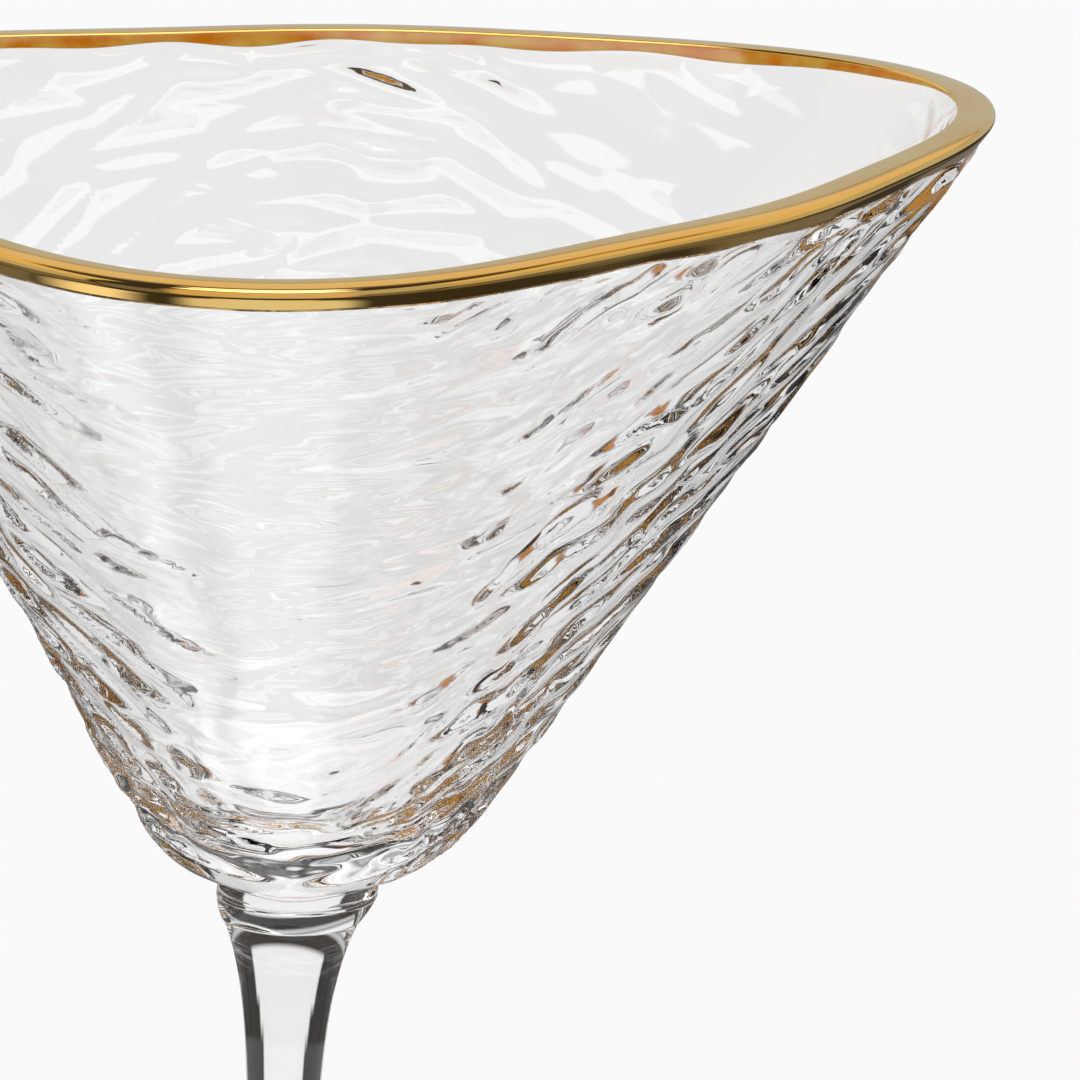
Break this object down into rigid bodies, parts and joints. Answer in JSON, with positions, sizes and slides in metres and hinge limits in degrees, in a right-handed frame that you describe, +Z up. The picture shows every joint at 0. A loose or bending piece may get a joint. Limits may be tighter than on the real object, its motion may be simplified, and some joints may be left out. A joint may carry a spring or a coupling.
{
  "type": "martini glass",
  "caption": "Clear hammered cocktail glass with a softly triangular open bowl, a gold lip, a slim flared stem and a round foot.",
  "frame": {"origin": "centre of the foot's flat underside, on the surface the glass stands on", "axes": "+Z up along the stem, +X towards the bowl's sharpest corner to within 27 degrees, -Y towards the viewer of the picture"},
  "size_m": [0.1155, 0.1142, 0.1764],
  "materials": {
    "clear_glass": "polished, hammered on the outside of the bowl",
    "gold_lustre": "bright fired gold"
  },
  "bodies": {
    "root": {"bowl": "clear_glass", "gold_rim": "gold_lustre", "collar": "clear_glass", "stem": "clear_glass", "foot": "clear_glass"}
  },
  "joints": []
}
